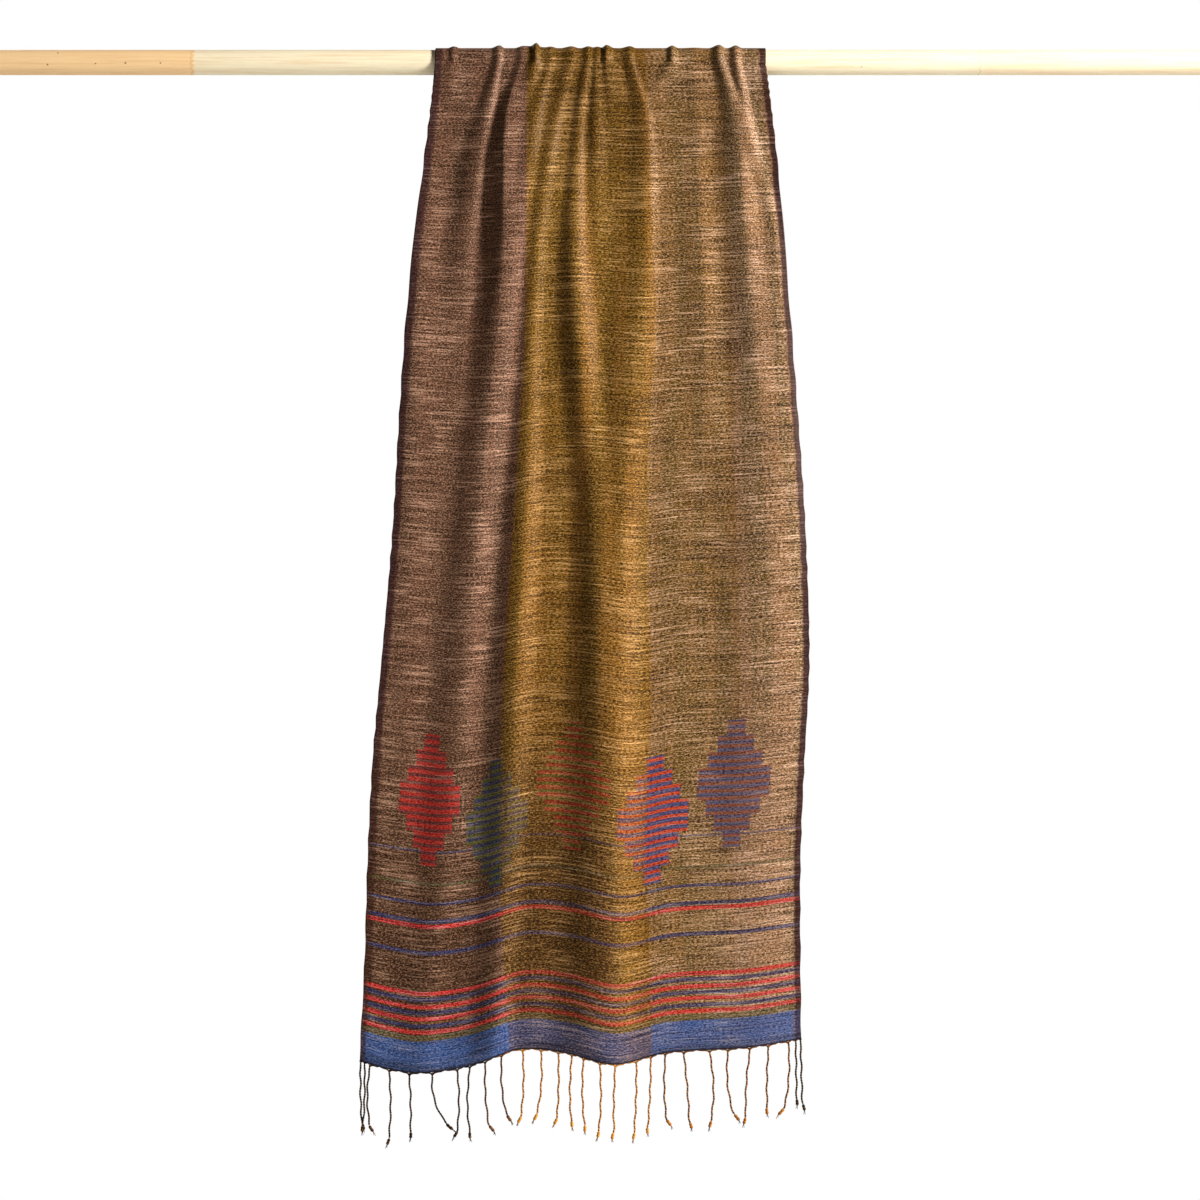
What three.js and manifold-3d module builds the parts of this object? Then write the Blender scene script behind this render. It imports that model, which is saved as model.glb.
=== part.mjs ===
// A silk scarf hung over a wooden rod, gathered along the rod and falling in soft folds to a fringed hem.
// Millimetres, +Z up, +X to the right of someone who faces the front fall, which is on the -Y side.
// The origin is on the rod's axis, at the middle of its length.
import * as THREE from "three";
import { mergeVertices } from "three/addons/utils/BufferGeometryUtils.js";
import Module from "manifold-3d";

const wasm = await Module();
wasm.setup();

// ---------------------------------------------------------------- driving dimensions

const ROD = { radius: 12.5, length: 1250, chamfer: 1.5, sides: 40 };
const CLOTH = { width: 460, wall: 1.2, restsAbove: 0.9, seamGap: 0.32 };
const FRINGE = { gap: 0.42, backing: 2.2, strand: 0.9, knot: 1.7, knotLength: 4, sides: 3 };
const GRID = { columns: 81, turnRows: 7, frontRows: 18, backRows: 11, strandSteps: 4 };
const ROW_CROWDING = 1.65; // the power that brings a fall's rows closer together near the rod
const SLOPE_STEP = { across: 0.2, along: 0.0004 }; // over which the surface's slope is measured

// Distance from the rod's axis to the middle of the cloth's wall.
const TURN_RADIUS = ROD.radius + CLOTH.restsAbove + CLOTH.wall / 2;

// Rows of numbers become objects whose keys are the named columns.
const table = (columns, rows) =>
  rows.map((row) => Object.fromEntries(columns.split(" ").map((name, i) => [name, row[i]])));

// The folds. top, near, high, low, hem: x of the crest at the depths of FOLD_DEPTHS below the rod's axis.
// crown: the height on the rod. height: the greatest one, at the depth peak. reach: the depth of its end.
// left, right: widths of the two flanks from the peak down. narrow: their share on the rod.
// sharp: 0 for a round crest, 1 for one whose left flank starts at a crease.
// guide: 1 where the columns of the cloth's grid follow the crest.
const FOLDS = table("top near high low hem crown height peak reach left right narrow sharp guide", [
  [-170, -175, -182, -191, -248, 0, 4, 300, 1500, 30, 50, 0.6, 0, 0],
  [-147, -150, -158, -170, -200, 1.8, 1.8, 5, 80, 12, 14, 0.5, 0.2, 0],
  [-101, -114, -136, -150, -210, 2.8, 6, 110, 400, 26, 16, 0.35, 0.2, 1],
  [-78, -94, -98, -123, -178, 2.2, 11, 100, 340, 20, 100, 0.4, 0.6, 1],
  [-78, -94, -96, -122, -178, 0, 8.5, 340, 1500, 34, 27, 0.6, 0.3, 0],
  [-64, -76, -82, -90, -130, 3.8, 3.8, 5, 45, 12, 10, 0.5, 0.4, 0],
  [-49, -65, -83, -100, -150, 1.2, 2.6, 80, 300, 14, 12, 0.5, 0.1, 0],
  [-29, -44, -64, -76, -107, 1.9, 8, 650, 2600, 30, 24, 0.35, 0.2, 1],
  [-12, -21, -25, -9, 0, 1.9, 8.5, 280, 800, 24, 24, 0.3, 0.2, 0],
  [-3, -4, -5, 0, 10, 1.5, 3, 90, 340, 12, 14, 0.5, 0.1, 0],
  [6, 11, 12, 12, 5, 3.3, 3.3, 5, 80, 10, 18, 0.5, 0.5, 0],
  [30, 45, 47, 44, 20, 2, 2.8, 100, 480, 22, 14, 0.45, 0.1, 1],
  [30, 40, 40, 20, 0, 0, 13, 700, 2400, 56, 40, 0.5, 0, 0],
  [72, 44, 32, 24, 20, 2.6, 2.6, 5, 55, 12, 14, 0.5, 0.3, 0],
  [95, 98, 101, 117, 150, 0.5, 3, 240, 600, 30, 20, 0.5, 0.1, 0],
  [119, 136, 145, 165, 170, 3.4, 6, 100, 420, 28, 22, 0.35, 0.3, 1],
  [136, 147, 178, 185, 187, 2.8, 3.2, 60, 260, 11, 10, 0.7, 0.3, 0],
  [150, 152, 155, 158, 160, 0, 6, 500, 1600, 50, 60, 0.6, 0, 0],
  [152, 161, 175, 194, 190, 0, 3.2, 420, 1300, 50, 15, 0.8, 0, 0],
]);
// Broad soft waves of the back fall alone, as folds.
const BACK_FOLDS = table("top near high low hem crown height peak reach left right narrow sharp guide", [
  [-120, -120, -125, -135, -150, 0, 10, 600, 1500, 40, 40, 0.5, 0, 0],
  [-10, -10, -8, 0, 5, 0, 11, 500, 1500, 44, 44, 0.5, 0, 0],
  [90, 90, 100, 115, 130, 0, 10, 600, 1500, 40, 40, 0.5, 0, 0],
]);
const FOLD_DEPTHS = { top: 0, near: 60, high: 200, low: 450, hem: 1000 };
const FULL = { wander: 1, reach: Infinity, height: 1 };
const ON_BACK = { wander: 0.5, reach: 420, height: 0.7 };

// The two selvedges, seen from the front, at heights below the rod's axis.
const FRONT_OUTLINE = table("down left right", [
  [0, -165, 166],
  [30, -168, 170],
  [110, -178, 179],
  [230, -192, 189],
  [350, -201, 198],
  [470, -208, 206],
  [600, -219, 210],
  [700, -228, 205],
  [800, -233, 201],
  [900, -236, 201],
  [1000, -241, 202],
]);
const BACK_OUTLINE = table("down left right", [
  [0, -165, 166],
  [30, -167, 169],
  [120, -174, 176],
  [300, -191, 187],
  [600, -206, 194],
  [900, -220, 192],
]);

// The lengths of the two falls at x of the hem, down from the rod's axis.
const FRONT_HEM = table("x down", [
  [-240, 1001],
  [-213, 1009],
  [-182, 1013],
  [-134, 1007],
  [-82, 990],
  [-34, 993],
  [17, 1004],
  [67, 993],
  [143, 988],
  [201, 979],
]);
const BACK_HEM = table("x down", [
  [-220, 882],
  [-157, 872],
  [-59, 890],
  [13, 878],
  [94, 892],
  [192, 900],
]);

// The two falls. side: -1 in front of the rod, 1 behind it. drop: the usual length below the rod's axis.
const FRONT = { side: -1, outline: FRONT_OUTLINE, hem: FRONT_HEM, drop: 997 };
const BACK = { side: 1, outline: BACK_OUTLINE, hem: BACK_HEM, drop: 885 };

// The front fringe's twisted strands. root: place across the cloth. lean: how far aside the tip hangs.
// length: from the hem to the tip. bow: how far the middle stands to the side of a straight line.
const FRONT_STRANDS = table("root lean length bow", [
  [1.5, 2, 71, -1],
  [5.5, -2, 68, 1],
  [11, 1, 68, -3],
  [31, -1, 76, 2],
  [52, 1, 66, 1],
  [76, 20, 58, -7],
  [102, -1, 69, 2],
  [115, 1, 73, -3],
  [131, 5, 71, -2],
  [148, 7, 67, -3],
  [170, -3, 74, 2],
  [189, -6, 71, 3],
  [207, -2, 73, 1],
  [221, 0, 73, -2],
  [233, 2, 74, -2],
  [250, -2, 75, 2],
  [266, -1, 75, -1],
  [288, -3, 79, 1],
  [303, -4, 78, 1],
  [318, 2, 73, -2],
  [337, 6, 78, 1],
  [364, 0, 78, 4],
  [383, 8, 72, -4],
  [406, -4, 77, -2],
  [425, -1, 70, -1],
  [446, -6, 74, 3],
  [453.5, 1, 66, 0],
  [458.5, 2, 72, 0],
]);
// The back fringe's strands stand evenly. length, lean and bow: middle value, sway, and the sway's turn
// from one strand to the next, in radians.
const BACK_STRANDS = { count: 28, inset: 3, length: [72, 4, 1.7], lean: [0, 4, 2.3], bow: [0, 2.5, 2.9] };
const KNOT_BULGE = [0.3, 0.7]; // where a knot is thick, along its length

const SILK = { roughness: 0.5, metalness: 0 };
const materials = {
  silk: new THREE.MeshStandardMaterial({ color: 0x7d6440, ...SILK }),
  fringe: new THREE.MeshStandardMaterial({ color: 0x6b4a26, ...SILK, roughness: 0.8 }),
  pine: new THREE.MeshStandardMaterial({ color: 0xf0d3a6, roughness: 0.6, metalness: 0 }),
};

// ---------------------------------------------------------------- curves and steps

const clamp = THREE.MathUtils.clamp;
const mix = THREE.MathUtils.lerp;

// Rises from 0 at q = 0 to 1 at q = 1, level at both.
const smooth = (q) => THREE.MathUtils.smoothstep(q, 0, 1);

// A smooth curve through a table's rows, held level past its ends: one column where another has a value.
function curveThrough(rows, key, column) {
  const x = rows.map((row) => row[key]);
  const y = rows.map((row) => row[column]);
  const last = x.length - 1;
  const slopes = x.map((_, i) => {
    const before = Math.max(i - 1, 0);
    const after = Math.min(i + 1, last);
    return (y[after] - y[before]) / (x[after] - x[before]);
  });
  return (at) => {
    const held = clamp(at, x[0], x[last]);
    const i = Math.min(x.findLastIndex((start) => start <= held), last - 1);
    const step = x[i + 1] - x[i];
    const q = (held - x[i]) / step;
    const bend = (1 - q) * slopes[i] - q * slopes[i + 1];
    return mix(y[i], y[i + 1], smooth(q)) + step * q * (1 - q) * bend;
  };
}

// A fold of a table with its crest's line as a curve. wander: how far the line keeps to its places, where
// 0 is straight down from the rod. reach: the greatest depth it may have. height: the share of its height.
function preparedFold(row, { wander, reach, height }) {
  const depths = Object.entries(FOLD_DEPTHS);
  const stops = depths.map(([key, down]) => ({ down, x: mix(row.top, row[key], wander) }));
  const reached = Math.min(row.reach, reach);
  return {
    ...row,
    crest: curveThrough(stops, "down", "x"),
    height: mix(row.crown, row.height, height),
    reach: reached,
    peak: Math.min(row.peak, 0.4 * reached),
  };
}

FRONT.folds = FOLDS.map((row) => preparedFold(row, FULL));
BACK.folds = [
  ...FOLDS.map((row) => preparedFold(row, ON_BACK)),
  ...BACK_FOLDS.map((row) => preparedFold(row, FULL)),
];

for (const fall of [FRONT, BACK]) {
  fall.left = curveThrough(fall.outline, "down", "left");
  fall.right = curveThrough(fall.outline, "down", "right");
  fall.hemAt = curveThrough(fall.hem, "x", "down");
  const guides = fall.folds.filter((fold) => fold.guide).map((fold) => fold.crest);
  fall.lines = [fall.left, ...guides, fall.right];
}

// ---------------------------------------------------------------- the cloth's surface

// How far a fold lifts the cloth at x and a depth below the rod's axis.
function foldLift(fold, x, down) {
  const opened = smooth(down / fold.peak);
  const aside = x - fold.crest(down);
  const width = (aside < 0 ? fold.left : fold.right) * mix(fold.narrow, 1, opened);
  const out = clamp(Math.abs(aside) / width, 0, 1);
  const gone = clamp((down - fold.peak) / (fold.reach - fold.peak), 0, 1);
  const height = mix(fold.crown, fold.height, opened) * (1 - gone) ** 1.5;
  const round = 0.5 * (1 + Math.cos(Math.PI * out));
  const creased = (1 - out) ** 1.5;
  return height * mix(round, creased, aside < 0 ? fold.sharp : 0);
}

function liftAt(fall, x, down) {
  const depth = Math.max(down, 0);
  return fall.folds.reduce((sum, fold) => sum + foldLift(fold, x, depth), 0);
}

// Where a column of the grid is at a depth. v is its x on the rod, and it follows the guiding folds.
function fallX(fall, v, down) {
  const depth = Math.max(down, 0);
  return fall.lines.slice(1).reduce((x, after, i) => {
    const here = fall.lines[i];
    const share = clamp((v - here(0)) / (after(0) - here(0)), 0, 1);
    return x + share * (after(depth) - here(depth));
  }, fall.left(depth));
}

// The length of a column of a fall.
const hemDown = (fall, v) => fall.hemAt(fallX(fall, v, fall.drop));

// Points in the middle of the cloth's wall. On a fall it hangs straight down from the rod's side. On the
// rod, turn is the angle from the top, negative at the front.
function fallPoint(fall, x, down) {
  return new THREE.Vector3(x, fall.side * (TURN_RADIUS + liftAt(fall, x, down)), -down);
}

function turnPoint(x, turn) {
  const radius = TURN_RADIUS + liftAt(FRONT, x, 0);
  return new THREE.Vector3(x, radius * Math.sin(turn), radius * Math.cos(turn));
}

// ---------------------------------------------------------------- solids

// Shares of a stretch's length, closer together at its start by the given power.
const rowsAlong = (count, power) => Array.from({ length: count }, (_, j) => (j / (count - 1)) ** power);

// A closed wall round the surface that point(column, row) gives. out is 1 where the surface's outer side
// is the one that sees the columns rise to the right and the rows go down, and -1 where it is the other.
// level: whether the wall's thickness is measured level, so that the edges at a seam stay level too.
function wallGeometry(columns, rows, point, { out, level }) {
  const { across, along } = SLOPE_STEP;
  const positions = [];
  for (const layer of [CLOTH.wall / 2, -CLOTH.wall / 2]) {
    for (const row of rows) {
      for (const column of columns) {
        const sideways = point(column + across, row).sub(point(column - across, row));
        const downwards = point(column, row + along).sub(point(column, row - along));
        const normal = downwards.cross(sideways);
        if (level) normal.z = 0;
        normal.setLength(out * layer);
        positions.push(...point(column, row).add(normal).toArray());
      }
    }
  }
  return closedGrid(positions, columns.length, rows.length, out);
}

// Triangles over a grid of points given twice, the outer layer first, closed round its rim.
function closedGrid(positions, across, down, out) {
  const layer = across * down;
  const index = [];
  const quad = (a, b, c, d) => index.push(...(out > 0 ? [a, b, c, a, c, d] : [a, c, b, a, d, c]));
  for (let j = 0; j < down - 1; j++) {
    for (let i = 0; i < across - 1; i++) {
      const a = j * across + i;
      quad(a, a + across, a + across + 1, a + 1);
      quad(layer + a, layer + a + 1, layer + a + across + 1, layer + a + across);
    }
  }
  const rim = [];
  for (let i = 0; i < across - 1; i++) rim.push(i);
  for (let j = 0; j < down - 1; j++) rim.push(j * across + across - 1);
  for (let i = across - 1; i > 0; i--) rim.push((down - 1) * across + i);
  for (let j = down - 1; j > 0; j--) rim.push(j * across);
  rim.forEach((a, k) => {
    const b = rim[(k + 1) % rim.length];
    quad(a, b, layer + b, layer + a);
  });
  return closedShape(positions, index);
}

function closedShape(positions, index) {
  return new THREE.BufferGeometry()
    .setAttribute("position", new THREE.Float32BufferAttribute(positions, 3))
    .setIndex(index);
}

// A closed body through rings of the same number of points, with a flat end on the first and the last.
function ringBody(rings) {
  const sides = rings[0].length;
  const positions = rings.flat().flatMap((corner) => corner.toArray());
  const index = [];
  for (let r = 0; r < rings.length - 1; r++) {
    for (let k = 0; k < sides; k++) {
      const a = r * sides + k;
      const b = r * sides + ((k + 1) % sides);
      index.push(a, b, b + sides, a, b + sides, a + sides);
    }
  }
  const end = (rings.length - 1) * sides;
  for (let k = 1; k < sides - 1; k++) index.push(0, k + 1, k, end, end + k, end + k + 1);
  return closedShape(positions, index);
}

// A ring of corners round a centre, in the plane across the X axis or across the Z axis.
function ring(centre, radius, sides, axis) {
  return Array.from({ length: sides }, (_, k) => {
    const angle = (2 * Math.PI * k) / sides;
    const [a, b] = [radius * Math.cos(angle), radius * Math.sin(angle)];
    const offset = axis === "x" ? new THREE.Vector3(0, a, b) : new THREE.Vector3(a, -b, 0);
    return offset.add(centre);
  });
}

function toSolid(geometry) {
  const merged = mergeVertices(geometry);
  return new wasm.Manifold(
    new wasm.Mesh({
      numProp: 3,
      vertProperties: Float32Array.from(merged.attributes.position.array),
      triVerts: Uint32Array.from(merged.index.array),
    }),
  );
}

function joined(geometries) {
  const whole = geometries.map(toSolid).reduce((sum, solid) => sum.add(solid));
  const { vertProperties, triVerts } = whole.getMesh();
  return closedShape(vertProperties, Array.from(triVerts));
}

// ---------------------------------------------------------------- the pieces

// The grid's columns, even on the rod.
const columns = rowsAlong(GRID.columns, 1).map((share) => mix(FRONT.left(0), FRONT.right(0), share));

// One of the two falls, from the seam beside the rod down to its hem.
function fallGeometry(fall, rowCount) {
  const point = (v, share) => {
    const down = mix(CLOTH.seamGap, hemDown(fall, v), share);
    return fallPoint(fall, fallX(fall, v, down), down);
  };
  const rows = rowsAlong(rowCount, ROW_CROWDING);
  return wallGeometry(columns, rows, point, { out: -fall.side, level: true });
}

function turnGeometry() {
  const point = (v, share) => turnPoint(fallX(FRONT, v, 0), mix(-0.5, 0.5, share) * Math.PI);
  return wallGeometry(columns, rowsAlong(GRID.turnRows, 1), point, { out: -1, level: false });
}

// A strand that hangs from the middle of the backing: thin, with a thicker knot at its end.
function strandGeometry(fall, strand) {
  const x = mix(fall.left(fall.drop), fall.right(fall.drop), strand.root / CLOTH.width);
  const root = fallPoint(fall, x, fall.hemAt(x) + FRINGE.gap + FRINGE.backing / 2);
  const knotStart = 1 - FRINGE.knotLength / strand.length;
  const shares = rowsAlong(GRID.strandSteps, 1).map((share) => share * knotStart);
  const thin = shares.map((share) => [share, FRINGE.strand]);
  const thick = KNOT_BULGE.map((place) => [mix(knotStart, 1, place), FRINGE.knot]);
  const rings = [...thin, ...thick, [1, FRINGE.strand]];
  return ringBody(
    rings.map(([share, radius]) => {
      const aside = strand.lean * share + strand.bow * Math.sin(Math.PI * share);
      const centre = new THREE.Vector3(aside, 0, -strand.length * share).add(root);
      return ring(centre, radius, FRINGE.sides, "z");
    }),
  );
}

function fringeGeometry(fall, strands) {
  const backing = (v, share) => {
    const down = hemDown(fall, v) + FRINGE.gap + share * FRINGE.backing;
    return fallPoint(fall, fallX(fall, v, down), down);
  };
  const strip = wallGeometry(columns, [0, 1], backing, { out: -fall.side, level: true });
  return joined([strip, ...strands.map((strand) => strandGeometry(fall, strand))]);
}

function backStrands() {
  const { count, inset, length, lean, bow } = BACK_STRANDS;
  const swaying = ([middle, sway, turn], k) => middle + sway * Math.sin(k * turn);
  return Array.from({ length: count }, (_, k) => ({
    root: mix(inset, CLOTH.width - inset, k / (count - 1)),
    lean: swaying(lean, k),
    length: swaying(length, k),
    bow: swaying(bow, k),
  }));
}

function rodGeometry() {
  const { radius, length, chamfer, sides } = ROD;
  const half = length / 2;
  const stations = [
    [-half, radius - chamfer],
    [-half + chamfer, radius],
    [half - chamfer, radius],
    [half, radius - chamfer],
  ];
  return ringBody(stations.map(([x, r]) => ring(new THREE.Vector3(x, 0, 0), r, sides, "x")));
}

// ---------------------------------------------------------------- the part

const scarfOnRod = new THREE.Group();

function addPiece(name, geometry, material) {
  const mesh = new THREE.Mesh(geometry, material);
  mesh.name = name;
  scarfOnRod.add(mesh);
}

addPiece("rod", rodGeometry(), materials.pine);
addPiece("cloth_turn", turnGeometry(), materials.silk);
addPiece("cloth_front", fallGeometry(FRONT, GRID.frontRows), materials.silk);
addPiece("cloth_back", fallGeometry(BACK, GRID.backRows), materials.silk);
addPiece("fringe_front", fringeGeometry(FRONT, FRONT_STRANDS), materials.fringe);
addPiece("fringe_back", fringeGeometry(BACK, backStrands()), materials.fringe);

export default scarfOnRod;
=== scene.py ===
import math

import bpy
import numpy as np
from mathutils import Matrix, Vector


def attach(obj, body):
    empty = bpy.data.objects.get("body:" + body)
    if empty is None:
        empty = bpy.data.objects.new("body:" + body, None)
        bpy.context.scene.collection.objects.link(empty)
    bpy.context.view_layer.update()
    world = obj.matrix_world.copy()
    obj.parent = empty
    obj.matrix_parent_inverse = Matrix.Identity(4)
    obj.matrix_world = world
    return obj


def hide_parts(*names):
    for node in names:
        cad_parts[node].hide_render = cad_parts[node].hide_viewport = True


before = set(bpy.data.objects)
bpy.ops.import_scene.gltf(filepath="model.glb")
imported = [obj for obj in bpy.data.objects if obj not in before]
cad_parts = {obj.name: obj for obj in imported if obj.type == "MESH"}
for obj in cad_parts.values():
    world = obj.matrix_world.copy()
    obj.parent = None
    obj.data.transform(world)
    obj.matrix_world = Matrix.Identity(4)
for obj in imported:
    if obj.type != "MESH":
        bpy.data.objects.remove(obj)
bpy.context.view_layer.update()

MM = 0.001


def table(columns, rows):
    """Rows of numbers as dictionaries whose keys are the named columns."""
    return [dict(zip(columns.split(), row)) for row in rows]


def add_object(name, data):
    """A new object in the scene."""
    thing = bpy.data.objects.new(name, data)
    bpy.context.scene.collection.objects.link(thing)
    return thing


# ---- sizes, as in the part

ROD = dict(radius=12.5, length=1250)
CLOTH = dict(width=460, rests_above=0.9, part_wall=1.2, wall=0.6)
TURN_RADIUS = ROD["radius"] + CLOTH["rests_above"] + CLOTH["part_wall"] / 2
# The folds. top, near, high, low, hem: x of the crest, FOLD_DEPTHS below the rod's axis. crown: the height
# on the rod. height: the greatest one, at the depth peak. reach: the depth where it ends. left, right: the
# widths of the flanks from the peak down, and narrow: their share on the rod. sharp: 0 for a round crest, 1
# for one whose left flank starts at a crease. guide: 1 where the columns of the cloth's grid follow it.
# take: the cloth that it hides on the rod, and hold: high where it hides that till near its reach.
FOLD_DEPTHS = dict(top=0, near=60, high=200, low=450, hem=1000)
FOLD_COLUMNS = "top near high low hem crown height peak reach left right narrow sharp guide take hold"
FOLDS = table(FOLD_COLUMNS, [
    (-170, -175, -182, -191, -248, 0, 4, 300, 1500, 30, 50, 0.6, 0, 0, 0, 1),
    (-147, -150, -158, -170, -200, 1.8, 1.8, 5, 80, 12, 14, 0.5, 0.2, 0, 6, 1),
    (-101, -114, -136, -150, -210, 2.8, 6, 110, 400, 26, 16, 0.35, 0.2, 1, 14, 1),
    (-78, -94, -98, -123, -178, 2.2, 11, 100, 340, 20, 100, 0.4, 0.6, 1, 22, 3),
    (-78, -94, -96, -122, -178, 0, 8.5, 340, 1500, 34, 27, 0.6, 0.3, 0, 0, 1),
    (-64, -76, -82, -90, -130, 3.8, 3.8, 5, 45, 12, 10, 0.5, 0.4, 0, 10, 1),
    (-49, -65, -83, -100, -150, 1.2, 2.6, 80, 300, 14, 12, 0.5, 0.1, 0, 3, 1),
    (-29, -44, -64, -76, -107, 1.9, 8, 650, 2600, 30, 24, 0.35, 0.2, 1, 5, 1),
    (-12, -21, -25, -9, 0, 1.9, 8.5, 280, 800, 24, 24, 0.3, 0.2, 0, 5, 1),
    (-3, -4, -5, 0, 10, 1.5, 3, 90, 340, 12, 14, 0.5, 0.1, 0, 3, 1),
    (6, 11, 12, 12, 5, 3.3, 3.3, 5, 80, 10, 18, 0.5, 0.5, 0, 6, 1),
    (30, 45, 47, 44, 20, 2, 2.8, 100, 480, 22, 14, 0.45, 0.1, 1, 7, 1),
    (30, 40, 40, 20, 0, 0, 13, 700, 2400, 56, 40, 0.5, 0, 0, 0, 1),
    (72, 44, 32, 24, 20, 2.6, 2.6, 5, 55, 12, 14, 0.5, 0.3, 0, 6, 1),
    (95, 98, 101, 117, 150, 0.5, 3, 240, 600, 30, 20, 0.5, 0.1, 0, 4, 1),
    (119, 136, 145, 165, 170, 3.4, 6, 100, 420, 28, 22, 0.35, 0.3, 1, 14, 1),
    (136, 147, 178, 185, 187, 2.8, 3.2, 60, 260, 11, 10, 0.7, 0.3, 0, 8, 1),
    (150, 152, 155, 158, 160, 0, 6, 500, 1600, 50, 60, 0.6, 0, 0, 0, 1),
    (152, 161, 175, 194, 190, 0, 3.2, 420, 1300, 50, 15, 0.8, 0, 0, 0, 1),
])
PEAK_LATEST = 0.4  # a shortened fold is highest at this share of its reach, or above it
FADE_POWER = 1.5  # how a fold sinks from its peak to its reach
CREASE_POWER = 1.5  # how a creased flank falls from the crest

# Broad soft waves of the back fall alone, as folds.
BACK_FOLDS = table(FOLD_COLUMNS, [
    (-120, -120, -125, -135, -150, 0, 10, 600, 1500, 40, 40, 0.5, 0, 0, 0, 1),
    (-10, -10, -8, 0, 5, 0, 11, 500, 1500, 44, 44, 0.5, 0, 0, 0, 1),
    (90, 90, 100, 115, 130, 0, 10, 600, 1500, 40, 40, 0.5, 0, 0, 0, 1),
])
# How the front's folds go on down the back: straighter, shorter and lower.
BACK_FOLD = dict(wander=0.5, reach=420, height=0.7)

# x of the selvedges, as seen from the front, and of the warp colours' two joints, at depths below the axis.
FRONT_OUTLINE = table("down left right", [
    (0, -165, 166),
    (30, -168, 170),
    (110, -178, 179),
    (230, -192, 189),
    (350, -201, 198),
    (470, -208, 206),
    (600, -219, 210),
    (700, -228, 205),
    (800, -233, 201),
    (900, -236, 201),
    (1000, -241, 202),
])
BACK_OUTLINE = table("down left right", [
    (0, -165, 166),
    (30, -167, 169),
    (120, -174, 176),
    (300, -191, 187),
    (600, -206, 194),
    (900, -220, 192),
])
JOINTS = table("down first second", [
    (0, -73, 46),
    (140, -73, 51),
    (270, -75, 55),
    (370, -81, 49),
    (500, -89, 47),
    (600, -96, 50),
    (700, -99, 49),
    (790, -100, 45),
    (890, -97, 50),
    (1000, -90, 52),
])

# The lengths of the two falls at x of the hem, down from the rod's axis.
FRONT_HEM = table("x down", [
    (-240, 1001),
    (-213, 1009),
    (-182, 1013),
    (-134, 1007),
    (-82, 990),
    (-34, 993),
    (17, 1004),
    (67, 993),
    (143, 988),
    (201, 979),
])
BACK_HEM = table("x down", [
    (-220, 882),
    (-157, 872),
    (-59, 890),
    (13, 878),
    (94, 892),
    (192, 900),
])

FRONT = dict(side=-1, outline=FRONT_OUTLINE, hem=FRONT_HEM, drop=997)
BACK = dict(side=1, outline=BACK_OUTLINE, hem=BACK_HEM, drop=885)
TURN_LENGTH = math.pi * TURN_RADIUS
CLOTH_LENGTH = FRONT["drop"] + TURN_LENGTH + BACK["drop"]
WARP_JOINTS = (156, 304)  # across the cloth

# The front fringe. root: place across the cloth. lean: how far aside the tip hangs. length: hem to tip.
# bow: how far aside the middle stands. tail: how far aside the knotted end is bent.
FRONT_STRANDS = table("root lean length bow tail", [
    (1.5, 2, 71, -1, 0),
    (5.5, -2, 68, 1, 1),
    (11, 1, 68, -3, 3),
    (31, -1, 76, 2, -1),
    (52, 1, 66, 1, 0),
    (76, 20, 58, -7, 3),
    (102, -1, 69, 2, -3),
    (115, 1, 73, -3, 0),
    (131, 5, 71, -2, 4),
    (148, 7, 67, -3, 4),
    (170, -3, 74, 2, -2),
    (189, -6, 71, 3, -2),
    (207, -2, 73, 1, -3),
    (221, 0, 73, -2, 1),
    (233, 2, 74, -2, 0),
    (250, -2, 75, 2, -1),
    (266, -1, 75, -1, -2),
    (288, -3, 79, 1, 0),
    (303, -4, 78, 1, 1),
    (318, 2, 73, -2, 4),
    (337, 6, 78, 1, 2),
    (364, 0, 78, 4, 0),
    (383, 8, 72, -4, 4),
    (406, -4, 77, -2, -3),
    (425, -1, 70, -1, 0),
    (446, -6, 74, 3, -5),
    (453.5, 1, 66, 0, 0),
    (458.5, 2, 72, 0, 2),
])
# The back fringe stands evenly, inset from the selvedges. Its other sizes are a middle value, how far it
# sways and the radians from one strand to the next.
BACK_STRANDS = dict(count=28, inset=3, length=(72, 4, 1.7), lean=(0, 4, 2.3), bow=(0, 2.5, 2.9))
HEM_GAP = 0.42  # between a hem and the part's strip, whose threads hang from half its height
STRIP_HEIGHT = 2.2

# ---- camera, light, floor

CAMERA = dict(distance=3.2, field=1.2, height=-0.54, sensor=36.0, plane=-0.015)
FLOOR = dict(height=-1.6, half=1.7, surface={"Roughness": 0.8, "Base Color": (236, 235, 232)})


def make_camera():
    """A level camera that sees a square of the given field at the front fall's plane."""
    data = bpy.data.cameras.new("camera")
    data.sensor_width = CAMERA["sensor"]
    data.lens = CAMERA["sensor"] * CAMERA["distance"] / CAMERA["field"]
    data.dof.use_dof = False
    camera = add_object("camera", data)
    camera.location = (0, CAMERA["plane"] - CAMERA["distance"], CAMERA["height"])
    camera.rotation_euler = (math.radians(90), 0, 0)
    bpy.context.scene.camera = camera
    bpy.context.scene.view_settings.view_transform = "Standard"


LAMPS = table("name place size watts colour", [
    ("key", (3.0, -1.25, 0.7), 0.7, 342, (1.0, 0.96, 0.91)),
    ("fill_left", (-2.6, -2.6, -0.2), 2.2, 5, (1.0, 0.93, 0.8)),
    ("back", (-2.0, 2.8, 0.9), 1.6, 120, (1.0, 0.98, 0.95)),
])
AIM = (0, 0, -0.5)
# The surround, as the camera sees it and as it shines on the scene.
WORLD = table("seen strength colour", [
    (False, 0.095, (1.0, 0.87, 0.68)),
    (True, 1.0, (1.0, 1.0, 1.0)),
])


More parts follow.
